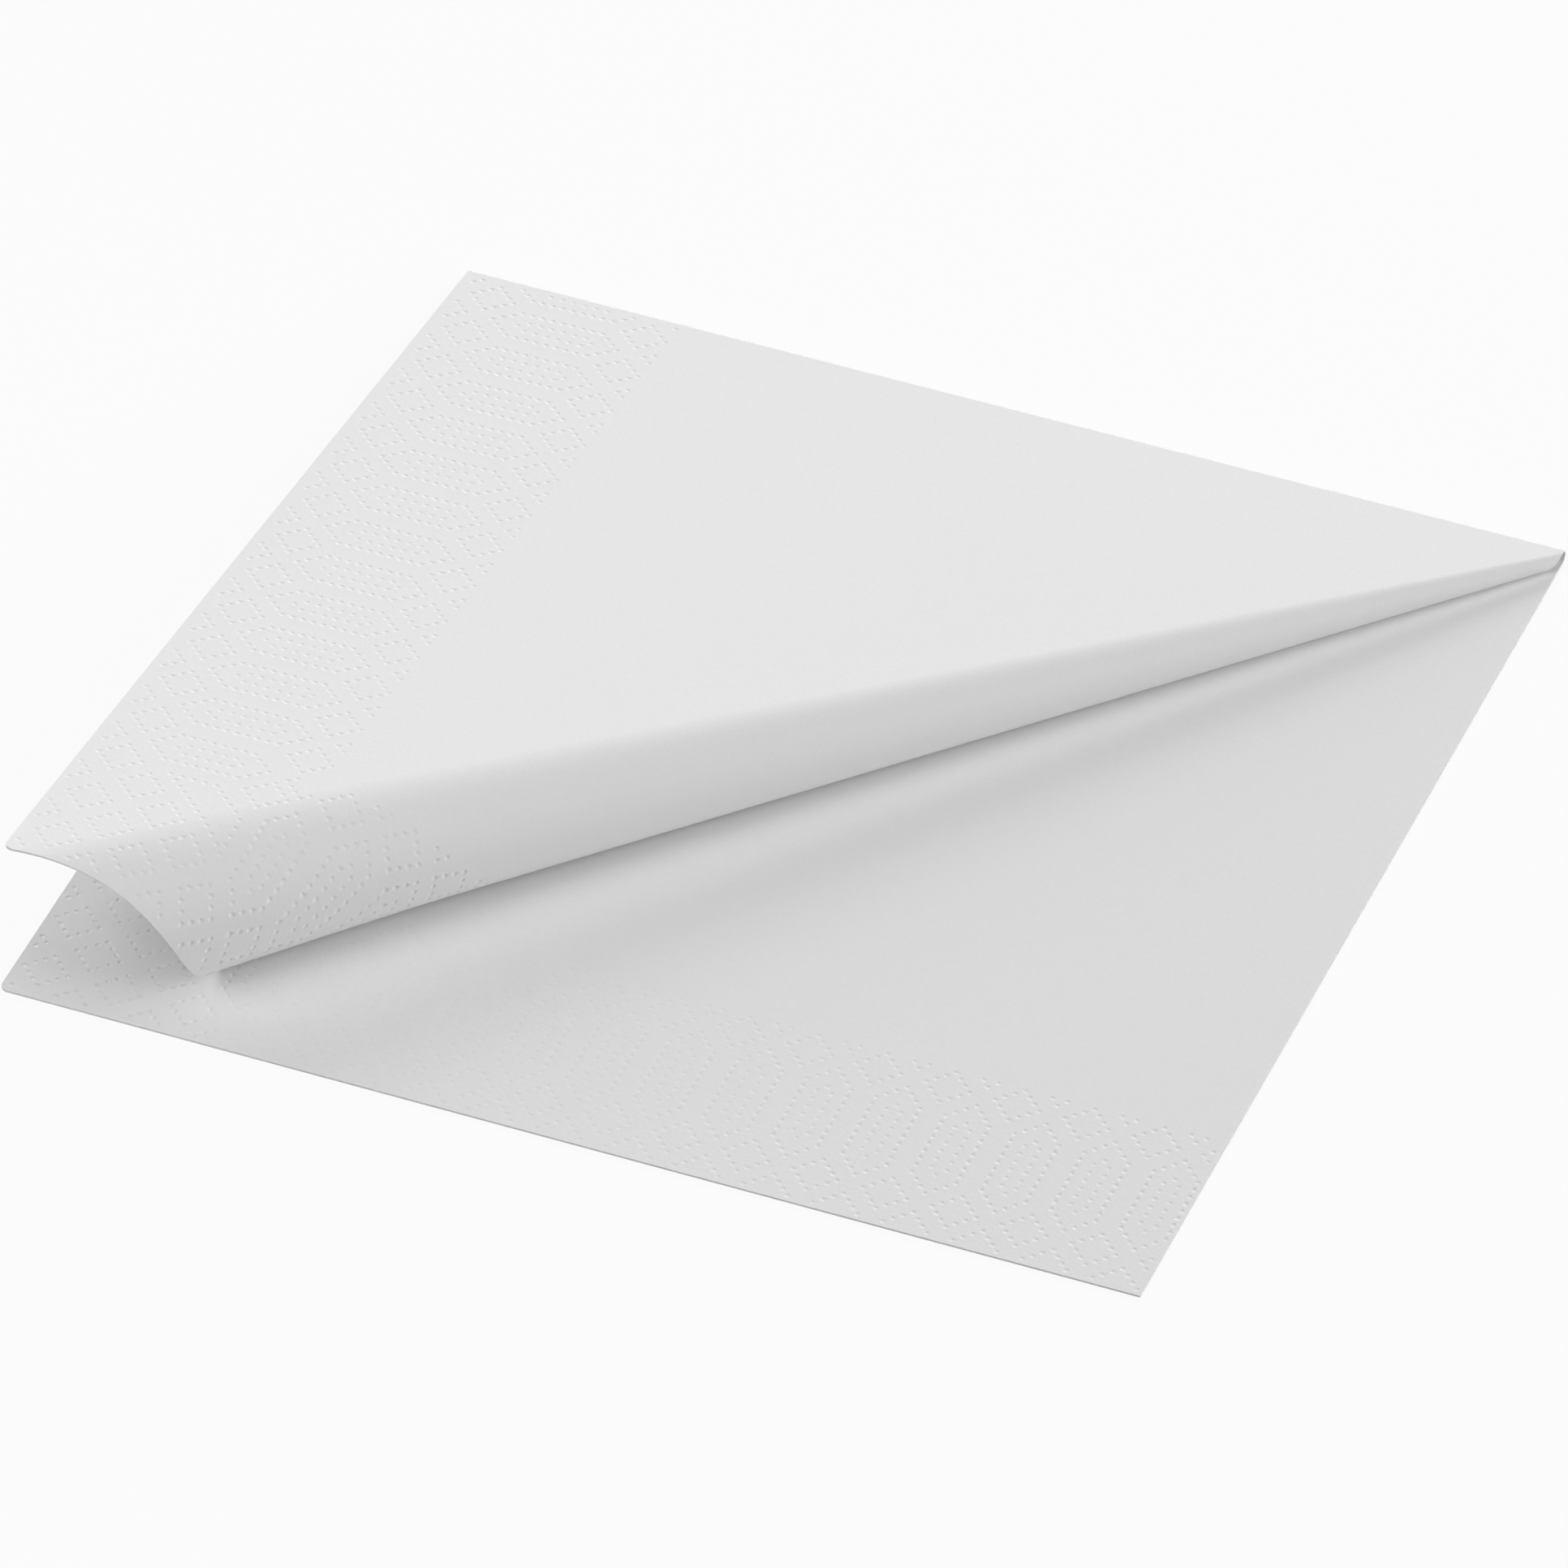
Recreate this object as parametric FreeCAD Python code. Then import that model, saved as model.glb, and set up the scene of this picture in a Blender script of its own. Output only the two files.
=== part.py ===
"""Paper napkin folded to a quarter, lying flat with its upper leaf half rolled under.

One square sheet is folded twice. The first fold, on the right, makes a leaf of two layers.
The second fold, at the back, lays one half of that leaf over the other. The upper leaf
stands up from the lower one, and its front right corner is rolled under it along a
diagonal, so that the corner lies between the two leaves.
"""
import FreeCAD, Part
import math
import os
from FreeCAD import Placement, Rotation, Vector

# The folded square and its paper
side = 165.0
sheet = 0.12
layer_gap = 0.08
corner_radius = 1.3

# The back fold: its outside height, and the angle that the upper leaf stands up by
back_fold_height = 1.3
lift_angle = 8.3

# The first line of the roll runs from beside the back fold to beside the free corner
roll_to_back_fold = 0.35
roll_to_corner_round = 0.3
# The cone that the leaf first bends round, and how far round it goes
roll_half_angle = 3.55
roll_turn = 95.0
# The air between the rolled corner and the lower leaf that it lies on
rest_gap = 0.06
# Straight lines that the leaf is bent along in each cone of the roll
bend_lines = 13

half_leaf = sheet + layer_gap / 2
fold_radius = back_fold_height / 2
rest_level = 3 * half_leaf + rest_gap
lift = math.radians(lift_angle)

# Directions of the upper leaf: to the left, to the front and out of its top
leftward = Vector(-1, 0, 0)
forward = Vector(0, -math.cos(lift), math.sin(lift))
outward = Vector(0, math.sin(lift), math.cos(lift))

# Where the back fold ends and the flat upper leaf starts
back_fold_axis = Vector(side / 2, side / 2 - fold_radius, fold_radius)
leaf_start = back_fold_axis + outward * (fold_radius - half_leaf)

# All lines of the roll meet in one point, where the plane of the upper leaf comes down to
# the level at which the rolled corner lies
start_from_apex = (leaf_start.z - rest_level) / math.sin(lift)
front_from_apex = start_from_apex + side - fold_radius
bend_left = side - corner_radius - roll_to_corner_round
bend_forward = side - fold_radius - roll_to_back_fold
bend_angle = math.atan2(bend_forward, bend_left)
fold_from_apex = (start_from_apex + roll_to_back_fold) / math.tan(bend_angle)
apex = leaf_start - forward * start_from_apex - leftward * fold_from_apex


def leaf_section(near, far, slant=1.0):
    """Section of a leaf in the XZ plane, along a line that crosses the side fold.

    Two layers run from near to far and are joined by a half round at the near end. The
    slant is how much longer that half round gets where the line crosses it askew.
    """
    inner = layer_gap / 2

    def half_round(radius):
        tip = Vector(near - radius * slant, 0, 0)
        top = Vector(near, 0, radius)
        if slant == 1:
            return Part.Arc(-top + Vector(2 * near, 0, 0), tip, top).toShape()
        ellipse = Part.Ellipse(tip, top, Vector(near, 0, 0))
        return Part.ArcOfEllipse(ellipse, -math.pi / 2, math.pi / 2).toShape()

    def line(x1, z1, x2, z2):
        return Part.makeLine(Vector(x1, 0, z1), Vector(x2, 0, z2))

    edges = [
        half_round(half_leaf),
        line(near, half_leaf, far, half_leaf),
        line(far, half_leaf, far, inner),
        line(far, inner, near, inner),
        half_round(inner),
        line(near, -inner, far, -inner),
        line(far, -inner, far, -half_leaf),
        line(far, -half_leaf, near, -half_leaf),
    ]
    return Part.Wire(edges)


def flat_leaf(fold_at, start, end):
    """Leaf in the XY plane, its side fold along Y and its far front corner rounded."""
    section = leaf_section(fold_at + half_leaf, fold_at + side)
    section.translate(Vector(0, start, 0))
    leaf = Part.Face(section).extrude(Vector(0, end - start, 0))
    corner = Vector(fold_at + side, end, -half_leaf)
    block = Part.makeBox(corner_radius, corner_radius, 2 * half_leaf,
                         corner - Vector(corner_radius, corner_radius, 0))
    round_off = Part.makeCylinder(corner_radius, 2 * half_leaf,
                                  corner - Vector(corner_radius, corner_radius, 0))
    return leaf.cut(block.cut(round_off))


def sector(from_angle, to_angle):
    """Wedge of space round the Z axis that holds every part of a leaf between two angles."""
    reach = 3 * side
    points = [Vector(0, 0, -side)]
    for angle in (from_angle, (from_angle + to_angle) / 2, to_angle):
        points.append(Vector(reach * math.cos(angle), reach * math.sin(angle), -side))
    face = Part.Face(Part.makePolygon(points + [points[0]]))
    return face.extrude(Vector(0, 0, 2 * side))


def turned(direction, axis, angle):
    """Direction turned about an axis by an angle in radians."""
    return Rotation(axis, math.degrees(angle)).multVec(direction)


def cone_bend(frame, flat_angle, half_angle, turn):
    """Stretch of the upper leaf bent round a cone whose tip is the apex.

    The frame is the line of the leaf that the bend starts from, the direction across it
    and the direction out of the top of the leaf. The leaf is straight along every line of
    the cone, so the solid is ruled from one line to the next. Returns the solid, the frame
    at its end and the angle of the end line in the flat leaf.
    """
    along, across, out = frame
    cone_axis = along * math.cos(half_angle) - out * math.sin(half_angle)
    sections = []
    for i in range(bend_lines):
        angle = turn * i / (bend_lines - 1)
        flat = flat_angle + angle * math.sin(half_angle)
        frame = [turned(v, cone_axis, -angle) for v in (along, across, out)]
        near = (fold_from_apex + half_leaf) / math.cos(flat)
        far = front_from_apex / math.sin(flat)
        section = leaf_section(near, far, 1 / math.cos(flat))
        section.Placement = Placement(apex, Rotation(*frame, "XYZ"))
        sections.append(section)
    return Part.makeLoft(sections, True, True), frame, flat


def landing(frame):
    """Half angle and turn of the cone that brings a line and its leaf down to level."""
    along, across, out = frame
    half_angle = math.atan2(along.z, 1 + out.z)
    cone_axis = along * math.cos(half_angle) - out * math.sin(half_angle)
    level = Vector(cone_axis.x, cone_axis.y, 0).normalize()
    spoke = along - cone_axis * math.cos(half_angle)
    end_spoke = level - cone_axis * math.cos(half_angle)
    turn = math.atan2(end_spoke.dot(across) * math.sin(half_angle), end_spoke.dot(spoke))
    return half_angle, turn % (2 * math.pi)


# Lower leaf, flat on the table
lower = flat_leaf(0, 0, side - fold_radius)
lower.Placement = Placement(Vector(side / 2, back_fold_axis.y, half_leaf),
                            Rotation(leftward, Vector(0, -1, 0), Vector(0, 0, 1), "XYZ"))

# Back fold, from the lower leaf round and up to the upper one
section = Part.Face(leaf_section(half_leaf, side))
section.Placement = Placement(Vector(side / 2, back_fold_axis.y, half_leaf),
                              Rotation(leftward, Vector(0, -1, 0), Vector(0, 0, 1), "XYZ"))
back_fold = section.revolve(back_fold_axis, Vector(1, 0, 0), 180 - lift_angle)

# Upper leaf, flat as far as the first line of the roll
whole_leaf = flat_leaf(fold_from_apex, start_from_apex, front_from_apex)
upper = whole_leaf.common(sector(0, bend_angle))
upper.Placement = Placement(apex, Rotation(leftward, forward, outward, "XYZ"))

# The roll: a cone that turns the leaf under, then one that lays it down level
first = leftward * math.cos(bend_angle) + forward * math.sin(bend_angle)
frame = [first, outward.cross(first), outward]
roll, frame, flat_angle = cone_bend(frame, bend_angle, math.radians(roll_half_angle),
                                    math.radians(roll_turn))
half_angle, turn = landing(frame)
under, frame, flat_angle = cone_bend(frame, flat_angle, half_angle, turn)

# The rolled corner, flat between the leaves
tuck = whole_leaf.common(sector(flat_angle, math.pi * 3 / 4))
along, across, out = frame
left = along * math.cos(flat_angle) - across * math.sin(flat_angle)
front = along * math.sin(flat_angle) + across * math.cos(flat_angle)
tuck.Placement = Placement(apex, Rotation(left, front, out, "XYZ"))

napkin = lower.fuse([back_fold, upper, roll, under, tuck]).removeSplitter().Solids[0]

os.makedirs("parts", exist_ok=True)
napkin.exportStep("parts/napkin.step")
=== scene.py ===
import math

import bpy
from mathutils import Matrix, Vector
from mathutils.geometry import delaunay_2d_cdt


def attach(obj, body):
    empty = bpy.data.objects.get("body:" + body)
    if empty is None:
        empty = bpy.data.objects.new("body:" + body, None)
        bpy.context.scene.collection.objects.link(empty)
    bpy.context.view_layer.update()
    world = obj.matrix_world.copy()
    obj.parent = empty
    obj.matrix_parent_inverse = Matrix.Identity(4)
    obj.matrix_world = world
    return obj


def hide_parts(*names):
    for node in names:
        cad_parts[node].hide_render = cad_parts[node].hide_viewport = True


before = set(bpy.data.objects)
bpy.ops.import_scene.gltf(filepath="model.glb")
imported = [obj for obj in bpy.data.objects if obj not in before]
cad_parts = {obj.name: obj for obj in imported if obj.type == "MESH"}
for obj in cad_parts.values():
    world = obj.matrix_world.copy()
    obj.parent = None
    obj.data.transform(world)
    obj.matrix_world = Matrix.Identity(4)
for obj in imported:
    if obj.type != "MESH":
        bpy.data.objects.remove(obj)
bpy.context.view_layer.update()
bpy.ops.object.select_all(action="DESELECT")


# Napkin
# A 33 cm square of white two-ply tissue, folded to a quarter. The first fold makes a leaf of
# two layers, the second lays the upper leaf over the lower one. The upper leaf stands up a
# little, and its front right corner is rolled under it along the diagonal.

# Sizes are in millimetres up to the mesh. The heights and the roll are measured more closely
# than in the solid, and differ from it by a millimetre or two.
MM = 0.001
SIDE = 165.0
SHEET = 0.12
LAYER_GAP = 0.08
CORNER_RADIUS = 1.3
# The back fold's outside height, and the angle that the upper leaf stands up by
BACK_FOLD_HEIGHT = 2.3
LIFT = math.radians(7.8)
# The layers don't lie quite true: the lower leaf gets wider towards its front by this share
FRONT_WIDENING = 0.0034
# The first line of the roll runs from beside the back fold to beside the free corner
ROLL_TO_BACK_FOLD = 0.35
ROLL_TO_CORNER_ROUND = 0.3
# The cone that the leaf first bends round, and how far round it goes
ROLL_HALF_ANGLE = math.radians(2.97)
ROLL_TURN = math.radians(100.0)
# The air between the rolled corner and the lower leaf that it lies on
REST_GAP = 0.06
# The free end of the roll is out of round over this length. Its lower half sags down and to
# the front, its upper half rises as much, and both do so more the further round they are.
SAG_LENGTH = 28.0
SAG = Vector((-0.7, -1.2, -1.2))
SAG_AT_START, SAG_GROWTH = 0.4, 0.8
SAG_POWER = 1.5

half_leaf = SHEET + LAYER_GAP / 2
fold_radius = BACK_FOLD_HEIGHT / 2
rest_level = 3 * half_leaf + REST_GAP
# Each leaf is flat from its front edge to the back fold over this length
flat_length = SIDE - fold_radius

leftward = Vector((-1, 0, 0))
forward = Vector((0, -math.cos(LIFT), math.sin(LIFT)))
outward = Vector((0, math.sin(LIFT), math.cos(LIFT)))
fold_axis = Vector((SIDE / 2, SIDE / 2 - fold_radius, fold_radius))
leaf_start = fold_axis + outward * (fold_radius - half_leaf)

# The roll is bent round cones whose common tip lies where the plane of the upper leaf comes
# down to the level of the rolled corner
start_from_apex = (leaf_start.z - rest_level) / math.sin(LIFT)
front_from_apex = start_from_apex + flat_length
bend_angle = math.atan2(flat_length - ROLL_TO_BACK_FOLD,
                        SIDE - CORNER_RADIUS - ROLL_TO_CORNER_ROUND)
fold_from_apex = (start_from_apex + ROLL_TO_BACK_FOLD) / math.tan(bend_angle)
apex = leaf_start - forward * start_from_apex - leftward * fold_from_apex


def turned(lines, axis, angle):
    """Line, crosswise and outward directions of the leaf, turned about the axis of a cone."""
    turn = Matrix.Rotation(angle, 3, axis)
    return [turn @ line for line in lines]


def cone_axis(lines, half_angle):
    """Axis of the cone that the leaf is bent round from a line on."""
    return lines[0] * math.cos(half_angle) - lines[2] * math.sin(half_angle)


first = leftward * math.cos(bend_angle) + forward * math.sin(bend_angle)
roll_lines = [first, outward.cross(first), outward]
roll_axis = cone_axis(roll_lines, ROLL_HALF_ANGLE)
under_angle = bend_angle + ROLL_TURN * math.sin(ROLL_HALF_ANGLE)
under_lines = turned(roll_lines, roll_axis, -ROLL_TURN)

# The second cone brings the leaf down level, face down on the lower leaf
under_half_angle = math.atan2(under_lines[0].z, 1 + under_lines[2].z)
under_axis = cone_axis(under_lines, under_half_angle)
level = Vector((under_axis.x, under_axis.y, 0)).normalized()
spoke = under_lines[0] - under_axis * math.cos(under_half_angle)
end_spoke = level - under_axis * math.cos(under_half_angle)
under_turn = math.atan2(end_spoke.dot(under_lines[1]) * math.sin(under_half_angle),
                        end_spoke.dot(spoke)) % math.tau
tuck_angle = under_angle + under_turn * math.sin(under_half_angle)
tuck_lines = turned(under_lines, under_axis, -under_turn)


def upper_leaf(across, along):
    """Middle of the upper leaf, with its directions to the left, to the front and outward.

    The place is given on the flat leaf: across from the side fold, along from the back fold.
    """
    x, y = across + fold_from_apex, along + start_from_apex
    angle, reach = math.atan2(y, x), math.hypot(x, y)
    if angle <= bend_angle:
        line = leftward * math.cos(angle) + forward * math.sin(angle)
        lines = [line, outward.cross(line), outward]
    elif angle <= under_angle:
        turn = (angle - bend_angle) / math.sin(ROLL_HALF_ANGLE)
        lines = turned(roll_lines, roll_axis, -turn)
    elif angle <= tuck_angle:
        turn = (angle - under_angle) / math.sin(under_half_angle)
        lines = turned(under_lines, under_axis, -turn)
    else:
        lines = turned(tuck_lines, tuck_lines[2], angle - tuck_angle)
    line, crosswise, out = lines
    left = line * math.cos(angle) - crosswise * math.sin(angle)
    front = line * math.sin(angle) + crosswise * math.cos(angle)
    middle = apex + line * reach
    round_roll = (angle - bend_angle) / (tuck_angle - bend_angle)
    to_end = 1 - (flat_length - along) / SAG_LENGTH
    if 0 < round_roll < 1 and to_end > 0:
        sag = -math.sin(math.tau * round_roll) * (SAG_AT_START + SAG_GROWTH * round_roll)
        sag *= to_end ** SAG_POWER
        height, drop = middle.z - rest_level, max(0, -SAG.z * sag)
        middle += SAG * sag
        if drop:
            # The leaf nears the level at which the rolled corner lies, but never passes it
            middle.z = rest_level + height ** 2 / (height + drop)
    return middle, left, front, out


# Places on the folded strip of paper are measured on one long leaf: across from the side
# fold, and along from the front edge of the lower leaf, over the back fold, to the front
# edge of the upper leaf
back_fold_length = (fold_radius - half_leaf) * (math.pi - LIFT)
strip_length = 2 * flat_length + back_fold_length


def leaf(across, along):
    """Middle of the leaf, with its directions to the left, along the strip and outward."""
    if along <= flat_length:
        wider = 1 + FRONT_WIDENING * (1 - along / flat_length)
        middle = Vector((SIDE / 2 - across * wider, along - SIDE / 2, half_leaf))
        return middle, leftward, Vector((0, 1, 0)), Vector((0, 0, -1))
    if along < flat_length + back_fold_length:
        turn = (along - flat_length) / (fold_radius - half_leaf)
        out = Vector((0, math.sin(turn), -math.cos(turn)))
        middle = fold_axis + leftward * across + out * (fold_radius - half_leaf)
        return middle, leftward, Vector((0, math.cos(turn), math.sin(turn))), out
    return upper_leaf(across, along - flat_length - back_fold_length)


# Across the sheet, places are measured from the side fold: positive on the layer outside the
# back fold, negative on the layer inside it. The layers are joined by a half round.
layer_middle = half_leaf - SHEET / 2
half_fold = layer_middle * math.pi / 2
half_width = half_fold + SIDE - half_leaf


def sheet_point(x, along, face, rise=0.0, slope=(0.0, 0.0)):
    """Point and normal on one face of the sheet: 1 for its outer face, -1 for its inner one.

    The rise lifts the point off the face, and the slope is that of the face there.
    """
    offset = layer_middle + face * SHEET / 2
    if abs(x) < half_fold:
        turn = x / layer_middle
        across, height = half_leaf - offset * math.cos(turn), offset * math.sin(turn)
        facing = (-math.cos(turn), math.sin(turn))
    else:
        across = half_leaf + abs(x) - half_fold
        height = math.copysign(offset, x)
        facing = (0.0, math.copysign(1.0, x))
    middle, left, front, out = leaf(across, along)
    normal = (left * facing[0] + out * facing[1]) * face
    point = middle + out * height + normal * rise
    tilted = normal - left * slope[0] * math.copysign(1, x) - front * slope[1]
    return point * MM, tilted.normalized()


# Embossed border
# Pin dots are pressed into the paper along its open edges: rows of long hexagons with a ring
# of fainter dots inside, lozenges between the rows, and a mitred corner. Each dot is its
# distances from the left and the front edge, and how deep it is.

# Pins this fine would not show, so the dots are drawn about a quarter wider than they are
DOT_RADIUS = 0.58
# A dot of full depth goes halfway through the sheet. FULL and FAINT are shares of that.
DOT_DEPTH = 0.06
FULL, FAINT = 1.0, 0.8
# Dots keep clear of each other, of the cut edges and the back fold, and of the side fold
DOT_TO_DOT = 1.25
DOT_TO_EDGE = 0.7
DOT_TO_SIDE_FOLD = 0.8

# Half the width of a lozenge, and the dots along each of its sides
LOZENGE = 3.17
LOZENGE_DOTS = 3
# Rows of ornaments across the border, from this distance along the edge on
FIRST_ROW = 32.4
ROW_PITCH_LEFT = 10.08
ROW_PITCH_FRONT = 9.97
# Distances from the open edge to the ornaments in and between the rows
EDGE_CHEVRON = 0.82
OUTER_LOZENGE, INNER_LOZENGE = 6.1, 29.2
INNER_TIP, INNER_PAIR, PAIR_HALF = 31.2, 32.4, 1.07
# Hexagons: from tip to tip, and the dots along each long side
FIRST_HEXAGON = (7.9, 25.2, 8)
OTHER_HEXAGONS = (8.1, 27.1, 9)
SIDE_SPACING = 1.526
# The ring of faint dots inside a hexagon
RING_SPACING = 1.704
RING_HALF_WIDTH = 1.06
RING_TIP = 1.32
RING_SHIFT = 0.1
# In the corner, lozenges stand on a grid of this pitch, and chevrons along its edge
GRID = 5.36
GRID_START = 0.25
GRID_CHEVRON = 0.16
GRID_LOZENGES = ((1, 3), (1, 5), (2, 4))
GRID_CHEVRONS = (2, 4)
# On the diagonal: lozenges of the grid, the line that cuts off the corner, the pentagon
# and the half lozenge at the inner end
MITRE_LOZENGES = (1, 2, 3, 5)
MITRE_TIP = 3.4
MITRE_LOW, MITRE_MIDDLE, MITRE_HIGH = 13.45, 20.2, 26.15
MITRE_END = 31.5
# All dots lie within this distance of an open edge
BORDER_WIDTH = 34


def dots_between(start, end, count):
    """Dots spaced evenly from one point up to, but not including, the other."""
    return [(start[0] + (end[0] - start[0]) * i / count,
             start[1] + (end[1] - start[1]) * i / count, FULL) for i in range(count)]


def lozenge(x, y):
    """Lozenge round a point."""
    tips = [(x, y + LOZENGE), (x + LOZENGE, y), (x, y - LOZENGE), (x - LOZENGE, y)]
    return [dot for i in range(4)
            for dot in dots_between(tips[i], tips[(i + 1) % 4], LOZENGE_DOTS)]


def chevron(x, y):
    """Half a lozenge on the open edge, with its tip inwards."""
    start, tip, end = (x, y - LOZENGE), (x + LOZENGE, y), (x, y + LOZENGE)
    return (dots_between(start, tip, LOZENGE_DOTS) + dots_between(tip, end, LOZENGE_DOTS)
            + [(*end, FULL)])


def hexagon(start, end, count, y):
    """Long hexagon from tip to tip, with count dots along each side and a ring inside."""
    middle = (start + end) / 2
    reach = (count - 1) * SIDE_SPACING / 2
    dots = [(start, y, FULL), (end, y, FULL)]
    for row in (y - LOZENGE, y + LOZENGE):
        dots += dots_between((start, y), (middle - reach, row), LOZENGE_DOTS)[1:]
        dots += dots_between((middle - reach, row), (middle + reach, row), count - 1)
        dots += dots_between((middle + reach, row), (end, y), LOZENGE_DOTS)
    ring_reach = (count - 4) * RING_SPACING / 2
    for row in (y - RING_HALF_WIDTH, y + RING_HALF_WIDTH):
        for i in range(count - 3):
            dots.append((middle + RING_SHIFT - ring_reach + RING_SPACING * i, row, FAINT))
    dots.append((middle - ring_reach - RING_TIP, y, FAINT))
    dots.append((middle + ring_reach + RING_TIP, y, FAINT))
    return dots


def on_grid(step):
    """Distance from an open edge to a line of the corner's grid."""
    return GRID_START + GRID * step


def band(pitch):
    """Dots along one edge: distance from it, and distance from the other open edge."""
    dots = []
    for row in range(int((SIDE - FIRST_ROW) / pitch) + 1):
        y = FIRST_ROW + pitch * row
        dots += chevron(EDGE_CHEVRON, y)
        if row == 0:
            dots += hexagon(*FIRST_HEXAGON, y)
        else:
            dots += hexagon(*OTHER_HEXAGONS, y)
            dots += [(INNER_TIP, y, FULL), (INNER_PAIR, y - PAIR_HALF, FULL),
                     (INNER_PAIR, y + PAIR_HALF, FULL)]
        dots += lozenge(OUTER_LOZENGE, y + pitch / 2) + lozenge(INNER_LOZENGE, y + pitch / 2)
    for column, line in GRID_LOZENGES:
        dots += lozenge(on_grid(column), on_grid(line))
    for line in GRID_CHEVRONS:
        dots += chevron(GRID_CHEVRON, on_grid(line))
    return dots


def mitre():
    """Dots in the corner, where the two bands meet."""
    dots = []
    for step in MITRE_LOZENGES:
        dots += lozenge(on_grid(step), on_grid(step))
    dots += dots_between((GRID_START, MITRE_TIP), (MITRE_TIP, GRID_START), LOZENGE_DOTS)
    # A pentagon in the inner corner of the mitre
    dots += dots_between((MITRE_LOW, MITRE_HIGH), (MITRE_MIDDLE, MITRE_HIGH), 4)
    dots += dots_between((MITRE_MIDDLE, MITRE_HIGH), (MITRE_HIGH, MITRE_MIDDLE), 5)
    dots += dots_between((MITRE_HIGH, MITRE_MIDDLE), (MITRE_HIGH, MITRE_LOW), 4)
    dots += dots_between((MITRE_HIGH, MITRE_LOW), (MITRE_LOW, MITRE_HIGH), 11)
    # The outer half of a lozenge, with the dots at its middle, ends the border there
    half_way = 2 * MITRE_END + 0.5
    return dots + [dot for dot in lozenge(MITRE_END, MITRE_END) if dot[0] + dot[1] < half_way]


def border(shift_left, shift_front):
    """Dots of one quarter of the sheet, clear of its edges and folds and of each other."""
    dots = band(ROW_PITCH_LEFT)
    dots += [(x, y, deep) for y, x, deep in band(ROW_PITCH_FRONT)]
    dots += mitre()
    kept = {}
    for x, y, deep in dots:
        x, y = x + shift_left, y + shift_front
        # Dots are looked up by half millimetres, three of them either way
        column, row = round(x * 2), round(y * 2)
        near = [(column + i, row + j) for i in range(-3, 4) for j in range(-3, 4)]
        clear = all(math.dist(kept[cell][:2], (x, y)) > DOT_TO_DOT
                    for cell in near if cell in kept)
        across_sheet = DOT_TO_EDGE < x < SIDE - DOT_TO_SIDE_FOLD
        along_sheet = DOT_TO_EDGE < y < flat_length - DOT_TO_EDGE
        if clear and across_sheet and along_sheet:
            kept[column, row] = (x, y, deep)
    return list(kept.values())


# Mesh of the sheet
# Both faces of the sheet are meshed from edge to edge over its folds, and joined by the cut
# rim. Each dot is a dimple of one or two rings, and the roll has lines of its own.

# Distances between the points of the mesh: along the edges, along the lines of the roll,
# inside the flat leaves, and along the lines of the roll between the dots
EDGE_STEP = 4
LINE_STEP = 5
INNER_STEP = 6
BORDER_STEP = 1.5
ROLL_LINES = 24
# Inner points keep clear of the edges, of the roll (an angle) and of the dots
INNER_TO_EDGE = 0.5
INNER_TO_ROLL = 0.012
LINE_TO_DOT = 0.8
# Each ring of a dot is a pentagon
RING_POINTS = 5
# Points nearer to each other than this are one, and triangles below this area are left out
NEARNESS = 1e-5
LEAST_AREA = 1e-7

mesh_points, mesh_normals, mesh_faces, corner_of = [], [], [], {}


def vertex(x, along, face, rise=0.0, slope=(0.0, 0.0)):
    """Number of the mesh point at a place on the sheet. A new place gets a new point."""
    key = (round(x, 4), round(along, 4), face)
    if key not in corner_of:
        corner_of[key] = len(mesh_points)
        point, normal = sheet_point(x, along, face, rise, slope)
        mesh_points.append(point)
        mesh_normals.append(normal)
    return corner_of[key]


def add_face(corners, face):
    """Adds a face of the mesh, the other way round on the inner face of the sheet."""
    mesh_faces.append(corners if face == 1 else corners[::-1])


def spaced(start, end, step):
    """Evenly spaced values from start to end, about one step apart."""
    count = max(1, round(abs(end - start) / step))
    return [start + (end - start) * i / count for i in range(count + 1)]


def rectangle(columns, rows, face):
    """Fills a rectangle of the sheet with four-sided faces."""
    for x1, x2 in zip(columns, columns[1:]):
        for y1, y2 in zip(rows, rows[1:]):
            corners = ((x1, y1), (x2, y1), (x2, y2), (x1, y2))
            add_face([vertex(x, y, face) for x, y in corners], face)


upper_start = flat_length + back_fold_length
line_angles = spaced(bend_angle, tuck_angle, (tuck_angle - bend_angle) / ROLL_LINES)


def on_line(angle, across):
    """Place on a line of the roll: across from the side fold, and along the strip."""
    return across, upper_start + (across + fold_from_apex) * math.tan(angle) - start_from_apex


line_rows = [on_line(angle, half_leaf)[1] for angle in line_angles]
line_fronts = [front_from_apex / math.tan(angle) - fold_from_apex for angle in line_angles]

fold_columns = spaced(-half_fold, half_fold, half_fold / 2)
back_rows = spaced(flat_length, upper_start, back_fold_length / 10)
back_columns = spaced(half_fold, half_width, EDGE_STEP)
lower_rows = spaced(CORNER_RADIUS, flat_length, EDGE_STEP)
side_rows = [0] + lower_rows
upper_side_rows = [upper_start] + line_rows
upper_side_rows += spaced(line_rows[-1], strip_length, EDGE_STEP)[1:]
upper_left_rows = [strip_length - row for row in lower_rows[::-1]]


def to_x(across):
    """The x on the sheet of a place that is given across the leaf."""
    return half_fold + across - half_leaf


# Front edges, from the side fold to the round of the corner. Round the roll, the upper one
# has twice as many points as the roll has lines.
lower_fronts = spaced(half_fold, half_width - CORNER_RADIUS, EDGE_STEP)
between_lines = [(a + b) / 2 for a, b in zip(line_fronts, line_fronts[1:])]
roll_fronts = [to_x(front) for front in sorted(line_fronts + between_lines)]
upper_fronts = spaced(half_fold, roll_fronts[0], EDGE_STEP)[:-1] + roll_fronts
upper_fronts += spaced(roll_fronts[-1], half_width - CORNER_RADIUS, EDGE_STEP)[1:]


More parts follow.
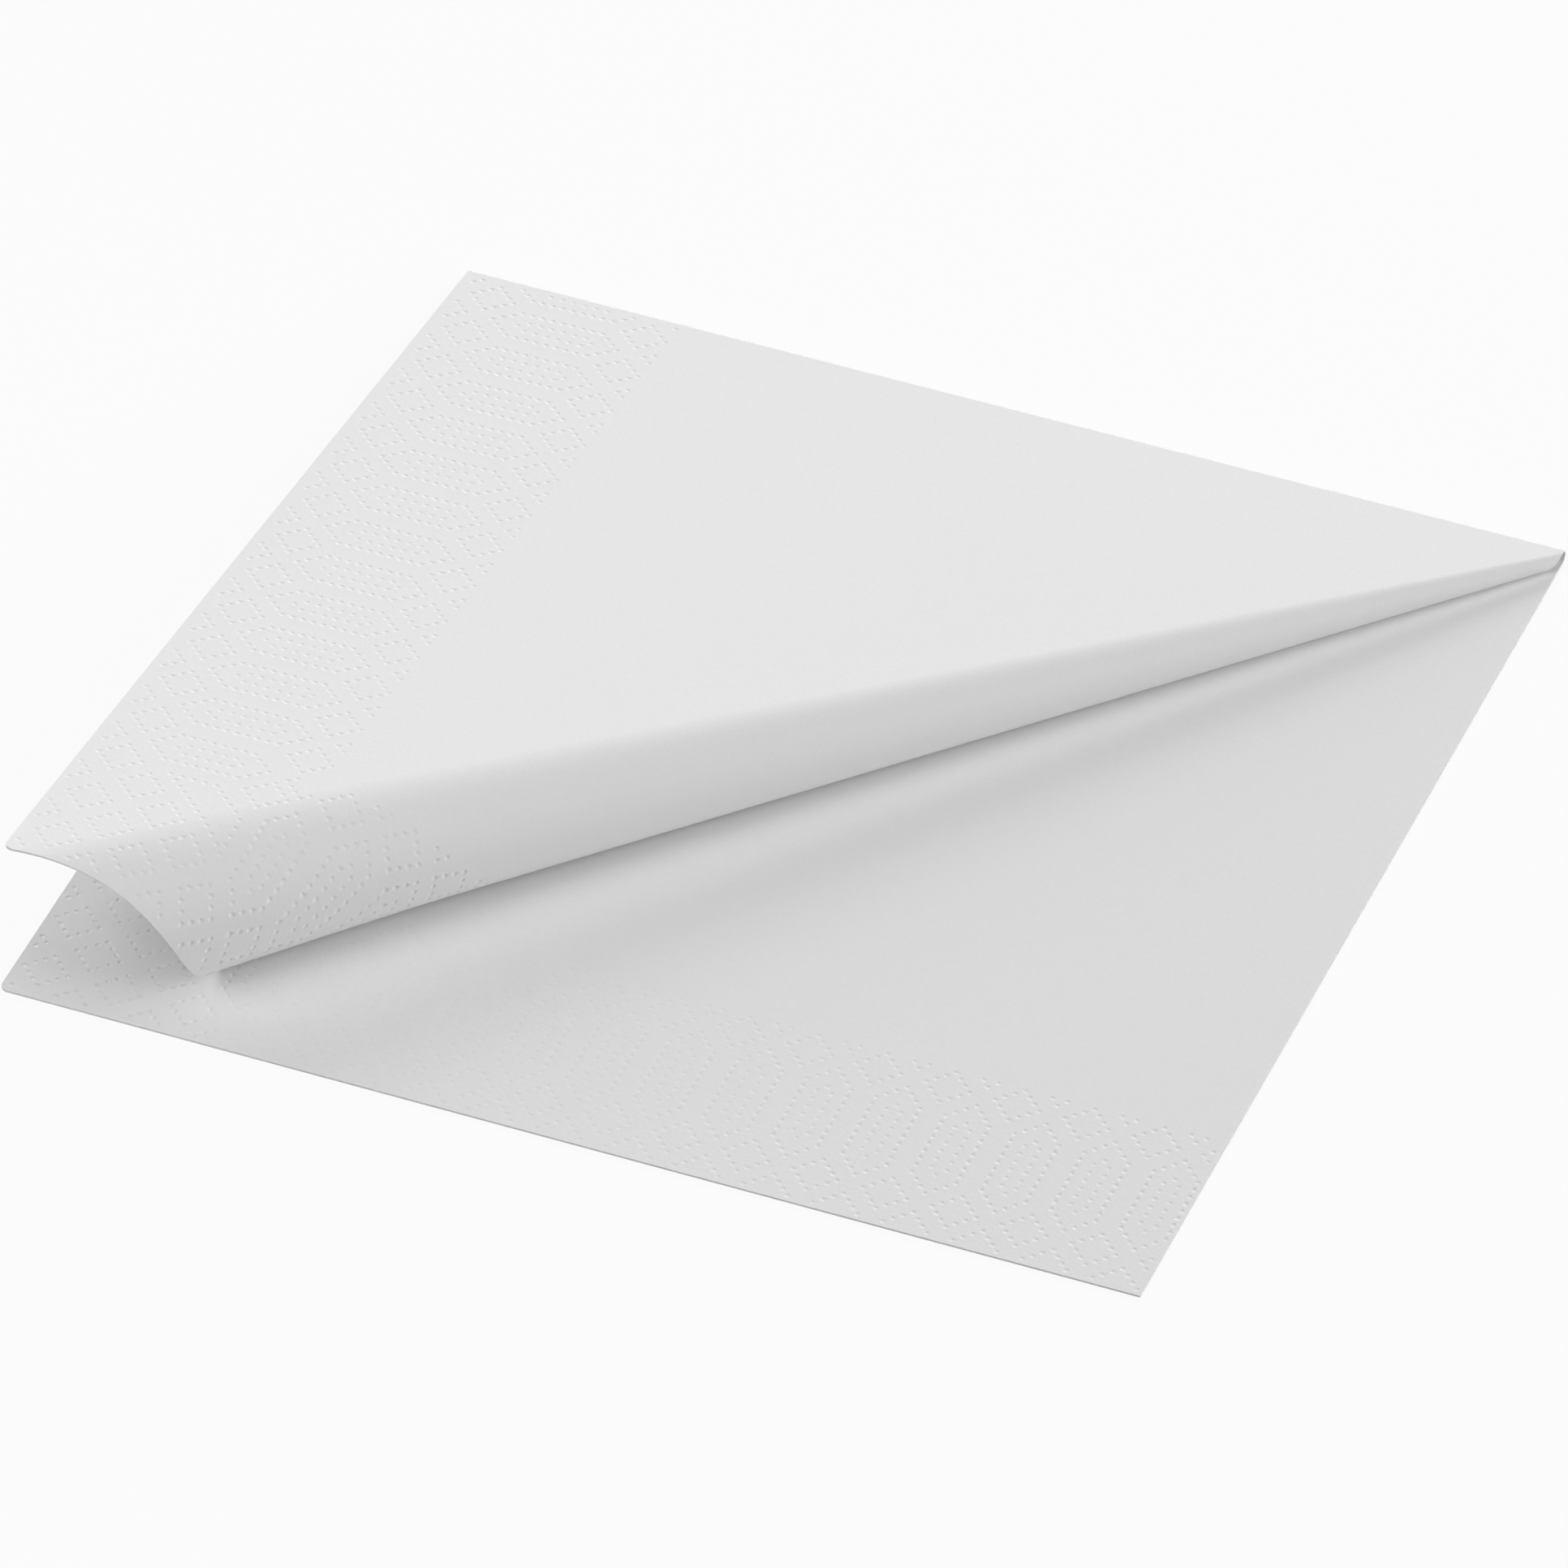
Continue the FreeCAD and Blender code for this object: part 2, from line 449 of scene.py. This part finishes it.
def quarter_outline(upper):
    """Edge of one quarter of the sheet, without the sign of its x.

    It runs from the side fold along the front edge, round the corner and up the left edge,
    and comes back along the back fold and the side fold.
    """
    fronts, front_row = (upper_fronts, strip_length) if upper else (lower_fronts, 0)
    inward = -1 if upper else 1
    centre = (half_width - CORNER_RADIUS, front_row + inward * CORNER_RADIUS)
    arc = [(centre[0] + CORNER_RADIUS * math.sin(turn),
            centre[1] - inward * CORNER_RADIUS * math.cos(turn))
           for turn in spaced(0, math.pi / 2, math.pi / 12)[1:-1]]
    left = upper_left_rows[::-1] if upper else lower_rows
    back_row = upper_start if upper else flat_length
    side = upper_side_rows if upper else side_rows[::-1]
    outline = [(x, front_row) for x in fronts] + arc
    outline += [(half_width, row) for row in left]
    outline += [(x, back_row) for x in back_columns[::-1][1:]]
    outline += [(half_fold, row) for row in side[1:-1]]
    return outline


def quarter(sign, upper, face, dots=(), rings=()):
    """One flat quarter of a face, with its dots pressed in."""
    # A place is its x and row, how far it rises off the face, and the slope of the face there
    places = [(x, row, 0, (0, 0)) for x, row in quarter_outline(upper)]
    lines = []
    border_width = BORDER_WIDTH if dots else INNER_TO_EDGE
    first_row, last_row = (upper_start, strip_length) if upper else (0, flat_length)

    for x in spaced(half_fold, half_width, INNER_STEP)[1:-1]:
        for row in spaced(first_row, last_row, INNER_STEP)[1:-1]:
            front = strip_length - row if upper else row
            plain = min(half_width - x, front) > border_width
            if upper:
                angle = math.atan2(row - upper_start + start_from_apex,
                                   x - half_fold + half_leaf + fold_from_apex)
                on_flat = not (bend_angle - INNER_TO_ROLL < angle < tuck_angle + INNER_TO_ROLL)
                plain = plain and on_flat
            if plain:
                places.append((x, row, 0, (0, 0)))
    if upper:
        for angle, front in zip(line_angles, line_fronts):
            last = front - border_width / math.tan(angle)
            spots = [on_line(angle, across) for across in spaced(half_leaf, last, LINE_STEP)]
            previous = places.index((half_fold, spots[0][1], 0, (0, 0)))
            for across, row in spots[1:]:
                places.append((to_x(across), row, 0, (0, 0)))
                lines.append((previous, len(places) - 1))
                previous = len(places) - 1
            # In the border, the lines of the roll only add points between the dots
            for across in spaced(last, front, BORDER_STEP)[1:-1] if dots else []:
                x, row = to_x(across), on_line(angle, across)[1]
                spot = (half_width - x, strip_length - row)
                if all(math.dist(spot, dot[:2]) > LINE_TO_DOT for dot in dots):
                    places.append((x, row, 0, (0, 0)))

    for left, front, deep in dots:
        x, row = half_width - left, strip_length - front if upper else front
        # A dot that is pressed harder than fully gets steeper, but no deeper
        depth = DOT_DEPTH * min(deep, 1)
        places.append((x, row, -depth, (0, 0)))
        for radius, share, slope in rings:
            for i in range(RING_POINTS):
                turn = math.tau * (i + radius) / RING_POINTS
                step = (math.cos(turn), math.sin(turn))
                places.append((x + radius * step[0], row + radius * step[1], -depth * share,
                               (slope * deep * step[0], slope * deep * step[1])))

    flat = [Vector((x, row)) for x, row, rise, slope in places]
    spots, _, triangles, sources = delaunay_2d_cdt(flat, lines, [], 0, NEARNESS)[:4]
    corners = []
    for spot, source in zip(spots, sources):
        x, row, rise, slope = places[source[0]] if source else (spot.x, spot.y, 0, (0, 0))
        corners.append(vertex(sign * x, row, face, rise, (sign * slope[0], slope[1])))
    for a, b, c in triangles:
        area = (spots[b] - spots[a]).cross(spots[c] - spots[a])
        if abs(area) > LEAST_AREA:
            order = (a, b, c) if area * sign > 0 else (a, c, b)
            add_face([corners[i] for i in order], face)


# Rings of a dot: radius, share of its depth and slope. The hidden layers get plain ones.
DEEP_RINGS = ((0.55 * DOT_RADIUS, 0.7, 0.32), (DOT_RADIUS, 0, 0))
PLAIN_RINGS = ((DOT_RADIUS, 0, 0.2),)
# Depths of the dots as shares of the plain one: added at the top of the roll, and on the
# lower leaf by the distance from its left edge
ROLL_DOTS = 2
LEFT_DOTS, MIDDLE_DOTS, RIGHT_DOTS = 2.3, 0.4, 0.85
LEFT_TO_MIDDLE = (24, 32)
MIDDLE_TO_RIGHT = (90, 130)


def way(value, start, end):
    """How far a value is from start to end, held at 0 before them and at 1 behind them."""
    return min(max((value - start) / (end - start), 0), 1)


def on_upper(dot):
    """A dot of the upper leaf. The bend of the roll pulls its dots open."""
    left, front, deep = dot
    angle = math.atan2(flat_length - front + start_from_apex, SIDE - left + fold_from_apex)
    opened = math.sin(math.pi * way(angle, bend_angle, tuck_angle)) ** 2
    return left, front, deep * (1 + ROLL_DOTS * opened)


def on_lower(dot):
    """A dot of the lower leaf. They are deepest on its left and hardly show beside that."""
    left, front, deep = dot
    pressed = LEFT_DOTS + (MIDDLE_DOTS - LEFT_DOTS) * way(left, *LEFT_TO_MIDDLE)
    pressed += (RIGHT_DOTS - MIDDLE_DOTS) * way(left, *MIDDLE_TO_RIGHT)
    return left, front, deep * pressed


# The border sits a little differently on each leaf
upper_dots = [on_upper(dot) for dot in border(-0.22, 0.21)]
lower_dots = [on_lower(dot) for dot in border(-1.1, 0.17)]

quarter(1, True, 1, upper_dots, DEEP_RINGS)
quarter(-1, False, 1, lower_dots, DEEP_RINGS)
quarter(-1, True, 1, upper_dots, PLAIN_RINGS)
quarter(1, False, 1, lower_dots, PLAIN_RINGS)
for sign in (-1, 1):
    for upper in (False, True):
        quarter(sign, upper, -1)
for face in (-1, 1):
    rectangle(fold_columns, side_rows + back_rows[1:] + upper_side_rows[1:], face)
    rectangle(back_columns, back_rows, face)
    rectangle([-x for x in back_columns[::-1]], back_rows, face)

# The cut rim, round the whole sheet
lower_edge = quarter_outline(False)
upper_edge = quarter_outline(True)


def open_edge(outline):
    """The part of a quarter's outline that is cut: front edge, corner and left edge."""
    return outline[:max(i for i, (x, row) in enumerate(outline) if x == half_width) + 1]


right_half = open_edge(lower_edge) + [(half_width, row) for row in back_rows[1:-1]]
right_half += open_edge(upper_edge)[::-1]
left_half = [(-x, row) for x, row in right_half[::-1]]
rim = [(x, 0) for x in fold_columns[1:-1]] + right_half
rim += [(x, strip_length) for x in fold_columns[::-1][1:-1]] + left_half

# The cut edge is soft and fuzzy, so it is shaded as a round one that looks up by this much
RIM_SOFTNESS = 0.6


def rim_normal(i):
    (x0, row0), (x, row), (x1, row1) = rim[i - 1], rim[i], rim[(i + 1) % len(rim)]
    left, front = leaf(half_leaf + max(0, abs(x) - half_fold), row)[1:3]
    outwards = left * math.copysign(row1 - row0, x) + front * (x0 - x1)
    return (outwards.normalized() + Vector((0, 0, RIM_SOFTNESS))).normalized()


corner_normals = [mesh_normals[corner] for face in mesh_faces for corner in face]
for i in range(len(rim)):
    (x1, row1), (x2, row2) = rim[i - 1], rim[i]
    mesh_faces.append([vertex(x1, row1, -1), vertex(x2, row2, -1),
                       vertex(x2, row2, 1), vertex(x1, row1, 1)])
    corner_normals += [rim_normal(i - 1), rim_normal(i), rim_normal(i), rim_normal(i - 1)]

mesh = bpy.data.meshes.new("napkin_sheet")
mesh.from_pydata(mesh_points, [], mesh_faces)
mesh.polygons.foreach_set("use_smooth", [True] * len(mesh.polygons))
mesh.normals_split_custom_set(corner_normals)
napkin = bpy.data.objects.new("napkin_sheet", mesh)
bpy.context.collection.objects.link(napkin)


def linear(hex_colour):
    """Linear RGBA of an sRGB hex colour."""
    channels = [int(hex_colour[i:i + 2], 16) / 255 for i in (0, 2, 4)]
    return [c / 12.92 if c < 0.04045 else ((c + 0.055) / 1.055) ** 2.4 for c in channels] + [1]


def node(material, kind, inputs, **settings):
    """Adds a node. Inputs are set by name or number, to a value or to another node's output."""
    added = material.node_tree.nodes.new(kind)
    for name, value in settings.items():
        setattr(added, name, value)
    for name, value in inputs.items():
        if isinstance(value, bpy.types.NodeSocket):
            material.node_tree.links.new(value, added.inputs[name])
        else:
            added.inputs[name].default_value = value
    return added


# Bleached tissue, creped as it left the drying cylinder and pressed smooth by the embossing
# rolls: a matte white with hardly any grain
tissue = bpy.data.materials.new("bleached_tissue")
tissue.use_nodes = True
tissue.node_tree.nodes.clear()
place = node(tissue, "ShaderNodeTexCoord", {}).outputs["Object"]
# Fibre clumps about 0.5 mm across
clumps = node(tissue, "ShaderNodeTexNoise", {"Vector": place, "Scale": 2000.0, "Detail": 3.0})
shade = node(tissue, "ShaderNodeMix",
             {0: clumps.outputs[0], 6: linear("F4F4F4"), 7: linear("FAFAFA")}, data_type="RGBA")
bump = node(tissue, "ShaderNodeBump", {"Height": clumps.outputs[0], "Distance": 0.02 * MM})
shader = node(tissue, "ShaderNodeBsdfPrincipled",
              {"Base Color": shade.outputs[2], "Normal": bump.outputs[0],
               "Roughness": 0.95, "Specular IOR Level": 0.2})
node(tissue, "ShaderNodeOutputMaterial", {"Surface": shader.outputs[0]})
mesh.materials.append(tissue)

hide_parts("napkin")
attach(napkin, "root")


# Floor
# A sheet of matte white board. The camera sees it, and what lies beyond it, as plain white,
# and it keeps a faint shadow of the napkin.

FLOOR_SIZE = 3.0
# A tenth of a millimetre keeps it clear of the napkin's underside
FLOOR_BELOW = 0.0001
# How far the camera sees the board as plain white. The rest shows the shadow.
WHITE_SHARE = 0.9


def seen_rays(owner):
    """1 for rays from the camera, and for those that gloss or glass sends back to it."""
    path = node(owner, "ShaderNodeLightPath", {})
    straight = node(owner, "ShaderNodeMath", {0: path.outputs["Is Camera Ray"],
                                              1: path.outputs["Is Glossy Ray"]},
                    operation="MAXIMUM")
    return node(owner, "ShaderNodeMath", {0: straight.outputs[0],
                                          1: path.outputs["Is Transmission Ray"]},
                operation="MAXIMUM").outputs[0]


bpy.ops.mesh.primitive_plane_add(size=FLOOR_SIZE, location=(0, 0, -FLOOR_BELOW))
floor = bpy.context.object
floor.name = "floor"
bpy.ops.object.transform_apply(location=True, rotation=False, scale=False)
board = bpy.data.materials.new("matte_white_board")
board.use_nodes = True
board.node_tree.nodes.clear()
surface = node(board, "ShaderNodeBsdfPrincipled",
               {"Base Color": linear("F2F2F2"), "Roughness": 0.8})
share = node(board, "ShaderNodeMath", {0: seen_rays(board), 1: WHITE_SHARE},
             operation="MULTIPLY")
white = node(board, "ShaderNodeEmission", {"Strength": 1.0})
mixed = node(board, "ShaderNodeMixShader",
             {0: share.outputs[0], 1: surface.outputs[0], 2: white.outputs[0]})
node(board, "ShaderNodeOutputMaterial", {"Surface": mixed.outputs[0]})
floor.data.materials.append(board)

studio = bpy.data.worlds.new("studio")
bpy.context.scene.world = studio
studio.use_nodes = True
studio.node_tree.nodes.clear()
backdrop = node(studio, "ShaderNodeBackground",
                {"Color": linear("FFFFFF"), "Strength": seen_rays(studio)})
node(studio, "ShaderNodeOutputWorld", {"Surface": backdrop.outputs[0]})


# Light
# Square softboxes on stands all round, turned to the napkin. The low one behind gives most
# of the light, and the others lighten the shadow in front of the roll.


def softbox(name, place, size, watts):
    lamp = bpy.data.lights.new(name, "AREA")
    lamp.size, lamp.energy = size, watts
    stand = bpy.data.objects.new(name, lamp)
    stand.location = place
    stand.rotation_euler = (-stand.location).to_track_quat("-Z", "Y").to_euler()
    bpy.context.collection.objects.link(stand)


softbox("low_back_softbox", (-0.2, 1.5, 0.45), 0.8, 19.0)
softbox("back_right_softbox", (1.1, 0.9, 0.8), 1.0, 5.8)
softbox("right_softbox", (1.4, 0.0, 0.8), 1.0, 10.0)
softbox("top_softbox", (0.0, 0.0, 1.6), 1.0, 1.3)
softbox("near_left_softbox", (-0.4, -0.4, 0.5), 0.4, 2.2)


# Camera
# A long lens, above the front right of the napkin. It was fitted to the four corners of the
# folded square.

SENSOR_WIDTH, LENS = 36, 425.13
FARTHEST_SEEN = 20
CAMERA_TARGET = Vector((-0.00047, -0.00285, 0))
CAMERA_DISTANCE = 2.5393
CAMERA_AZIMUTH = math.radians(21.75)
CAMERA_ELEVATION = math.radians(40.567)
CAMERA_ROLL = math.radians(0.167)

camera = bpy.data.objects.new("camera", bpy.data.cameras.new("camera"))
bpy.context.collection.objects.link(camera)
camera.data.sensor_width, camera.data.lens = SENSOR_WIDTH, LENS
back = Vector((math.sin(CAMERA_AZIMUTH) * math.cos(CAMERA_ELEVATION),
               -math.cos(CAMERA_AZIMUTH) * math.cos(CAMERA_ELEVATION),
               math.sin(CAMERA_ELEVATION)))
camera.location = CAMERA_TARGET + back * CAMERA_DISTANCE
upright = back.to_track_quat("Z", "Y").to_matrix()
camera.rotation_euler = (upright @ Matrix.Rotation(CAMERA_ROLL, 3, "Z")).to_euler()
camera.data.clip_end = FARTHEST_SEEN
bpy.context.scene.camera = camera
bpy.context.scene.view_settings.view_transform = "Standard"
